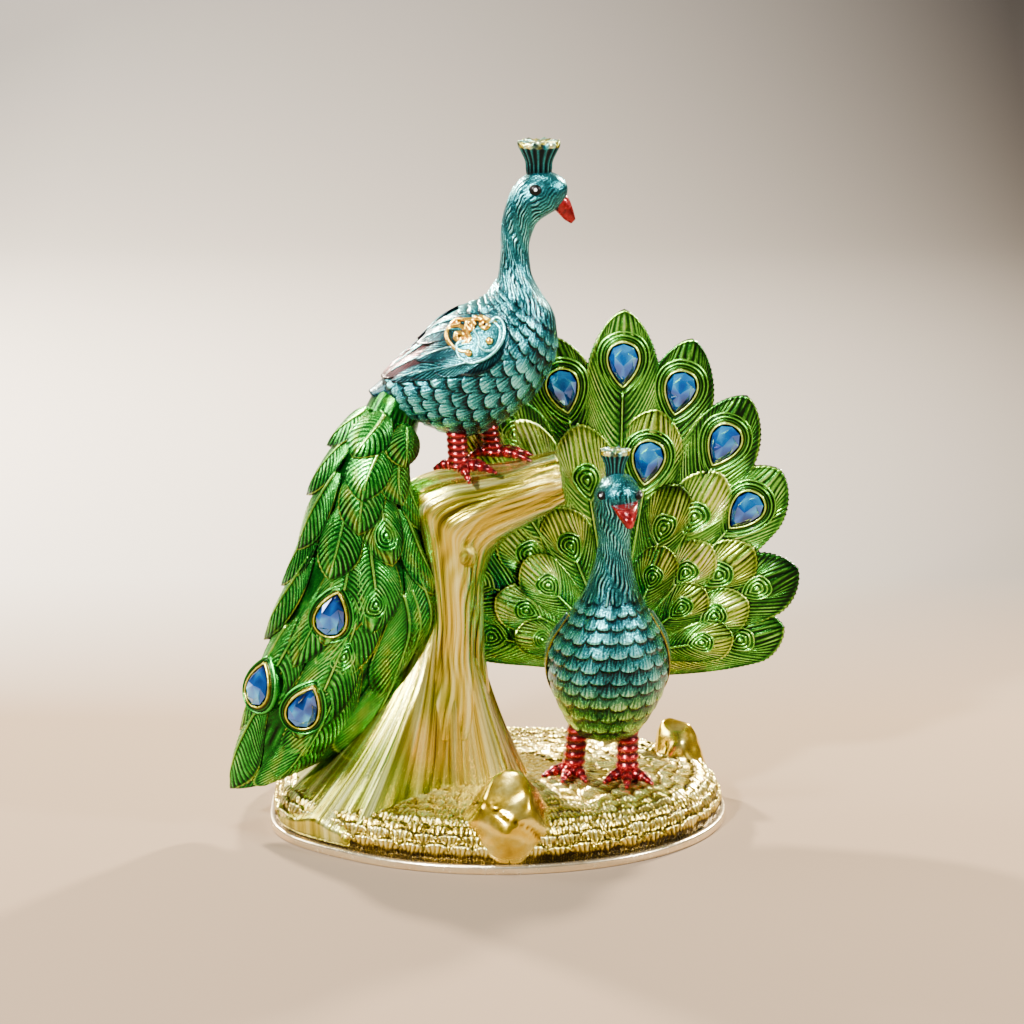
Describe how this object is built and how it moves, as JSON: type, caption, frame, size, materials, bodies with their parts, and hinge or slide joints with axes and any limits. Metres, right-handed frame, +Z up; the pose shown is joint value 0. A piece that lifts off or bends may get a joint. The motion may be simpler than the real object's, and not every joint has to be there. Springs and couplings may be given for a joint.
{
  "type": "peacock figurine",
  "caption": "Cast and enamelled figurine of two peacocks, one perched on a stump and one with spread tail, set with pear-cut stones, standing on an oval grass base.",
  "frame": {"origin": "centre of the grass base's oval, on its flat underside", "axes": "+Z up, -Y towards the viewer whom the lower bird faces, +X to the right, the way the upper bird looks"},
  "size_m": [0.2043, 0.1361, 0.2461],
  "materials": {
    "casting": "gold-coloured casting with clear green, teal and red enamels, glossy",
    "stone": "faceted blue glass with a foiled back"
  },
  "bodies": {
    "root": {"casting": "casting", "fan_stone_1": "stone", "fan_stone_2": "stone", "fan_stone_3": "stone", "fan_stone_4": "stone", "fan_stone_5": "stone", "fan_stone_6": "stone", "tail_stone_1": "stone", "tail_stone_2": "stone", "tail_stone_3": "stone"}
  },
  "joints": []
}
